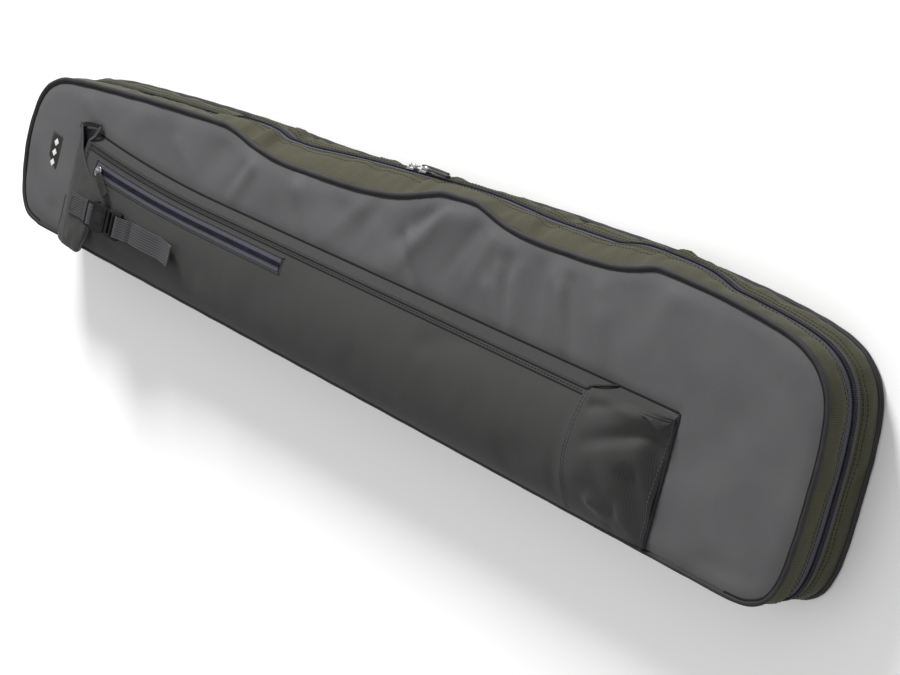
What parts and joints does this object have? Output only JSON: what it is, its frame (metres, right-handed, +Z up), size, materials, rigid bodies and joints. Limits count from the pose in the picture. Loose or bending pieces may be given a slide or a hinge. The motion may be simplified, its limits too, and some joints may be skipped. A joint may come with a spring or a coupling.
{
  "type": "rod case",
  "caption": "Long padded soft rod case lying zipped shut on its back, tapered in plan, with a bulging front pocket closed by a buckled flap and a padded divider inside.",
  "frame": {"origin": "middle of the closed case's bounding box, on the surface that the back panel lies on", "axes": "+X along the case towards its narrow tip end, +Y across it towards the straight spine and the handle, +Z up out of the front panel"},
  "size_m": [1.1033, 0.26, 0.1152],
  "materials": {
    "laminate": "matte grey laminated polyester with a faint sheen",
    "foam": "closed-cell foam padding",
    "lining": "smooth black nylon lining",
    "piping": "charcoal plastic-covered piping cord",
    "gusset": "olive coarse woven polyester",
    "spine": "dark grey coarse woven polyester",
    "zip_tape": "blue-grey woven zip tape",
    "coil": "dark navy nylon coil teeth",
    "pocket": "dark grey diagonal-weave polyester",
    "binding": "grey folded binding tape",
    "patch": "plain grey moulded label with an olive rim",
    "webbing": "grey ribbed polypropylene webbing",
    "buckle": "black moulded acetal",
    "puller": "ribbed black rubber",
    "grip": "soft black moulded grip",
    "slider": "bright nickel-plated die-cast metal"
  },
  "bodies": {
    "back_shell": {"back_panel": "laminate", "back_foam": "foam", "back_lining": "lining", "back_piping": "piping", "back_gusset": "gusset", "spine": "spine", "back_zip_tape": "zip_tape", "back_zip_coil": "coil", "rod_strap_tip": "webbing", "rod_strap_middle": "webbing", "rod_strap_butt": "webbing", "handle_anchor_tip": "webbing", "handle_anchor_butt": "webbing"},
    "lid": {"front_panel": "laminate", "front_foam": "foam", "front_lining": "lining", "front_piping": "piping", "front_gusset": "gusset", "front_zip_tape": "zip_tape", "front_zip_coil": "coil", "pocket_face": "pocket", "pocket_end_cap": "pocket", "pocket_gusset": "pocket", "pocket_mouth_binding": "binding", "pocket_zip_tape": "zip_tape", "pocket_zip_coil": "coil", "patch": "patch", "strap_base": "webbing"},
    "divider": {"divider_pad": "lining", "divider_binding": "binding", "divider_tape": "binding"},
    "flap": {"flap": "pocket", "flap_tab": "webbing", "buckle_socket": "buckle"},
    "plug": {"buckle_plug": "buckle", "strap_tail": "webbing"},
    "prong_upper": {"buckle_prong_upper": "buckle"},
    "prong_lower": {"buckle_prong_lower": "buckle"},
    "tip_slider": {"tip_slider": "slider"},
    "butt_slider": {"butt_slider": "slider"},
    "tip_puller": {"tip_puller": "puller"},
    "butt_puller": {"butt_puller": "puller"},
    "pocket_slider": {"pocket_slider": "slider"},
    "pocket_puller": {"pocket_puller": "puller"},
    "handle": {"handle_strap": "webbing", "handle_grip": "grip"}
  },
  "joints": [
    {"name": "lid_turn", "type": "hinge", "parent": "back_shell", "child": "lid", "pos_m": [0, 0.12464, 0.0775], "axis": [-1, 0, 0], "range_deg": [0, 170]},
    {"name": "divider_turn", "type": "hinge", "parent": "back_shell", "child": "divider", "pos_m": [0, 0.11764, 0.038], "axis": [-1, 0, 0], "range_deg": [0, 85]},
    {"name": "flap_turn", "type": "hinge", "parent": "lid", "child": "flap", "pos_m": [0.459, 0.06464, 0.081], "axis": [0, 1, 0], "range_deg": [0, 100]},
    {"name": "plug_slide", "type": "slide", "parent": "lid", "child": "plug", "axis": [-1, 0, 0], "range_m": [0, 0.022]},
    {"name": "prong_upper_turn", "type": "hinge", "parent": "plug", "child": "prong_upper", "pos_m": [0.369, 0.06789, 0.106], "axis": [0, 0, 1], "range_deg": [0, 8], "stiffness_Nm_per_rad": 0.05, "springref_deg": -5.73},
    {"name": "prong_lower_turn", "type": "hinge", "parent": "plug", "child": "prong_lower", "pos_m": [0.369, 0.08439, 0.106], "axis": [0, 0, -1], "range_deg": [0, 8], "stiffness_Nm_per_rad": 0.05, "springref_deg": -5.73},
    {"name": "tip_slider_slide", "type": "slide", "parent": "back_shell", "child": "tip_slider", "axis": [0.9899, 0.1419, 0], "range_m": [0, 0.03]},
    {"name": "butt_slider_slide", "type": "slide", "parent": "back_shell", "child": "butt_slider", "axis": [-0.9919, -0.1267, 0], "range_m": [0, 0.09]},
    {"name": "tip_puller_turn", "type": "hinge", "parent": "tip_slider", "child": "tip_puller", "pos_m": [0.03064, -0.09874, 0.04], "axis": [-0.3398, -0.0458, 0.9394], "range_deg": [0, 140]},
    {"name": "butt_puller_turn", "type": "hinge", "parent": "butt_slider", "child": "butt_puller", "pos_m": [0.01364, -0.10093, 0.04], "axis": [0.1969, 0.0269, 0.9801], "range_deg": [0, 140]},
    {"name": "pocket_slider_slide", "type": "slide", "parent": "lid", "child": "pocket_slider", "axis": [-0.9998, 0.0022, 0.0173], "range_m": [0, 0.27]},
    {"name": "pocket_puller_turn", "type": "hinge", "parent": "pocket_slider", "child": "pocket_puller", "pos_m": [0.40206, 0.03107, 0.10404], "axis": [0.6482, 0.7509, 0.1269], "range_deg": [0, 140]},
    {"name": "handle_turn", "type": "hinge", "parent": "back_shell", "child": "handle", "pos_m": [-0.149, 0.12744, 0.0343], "axis": [1, 0, 0], "range_deg": [0, 90]}
  ],
  "couplings": [
    {"joint": "divider_turn", "follows": "lid_turn", "ratio": 0.5},
    {"joint": "prong_lower_turn", "follows": "prong_upper_turn", "ratio": 1}
  ]
}
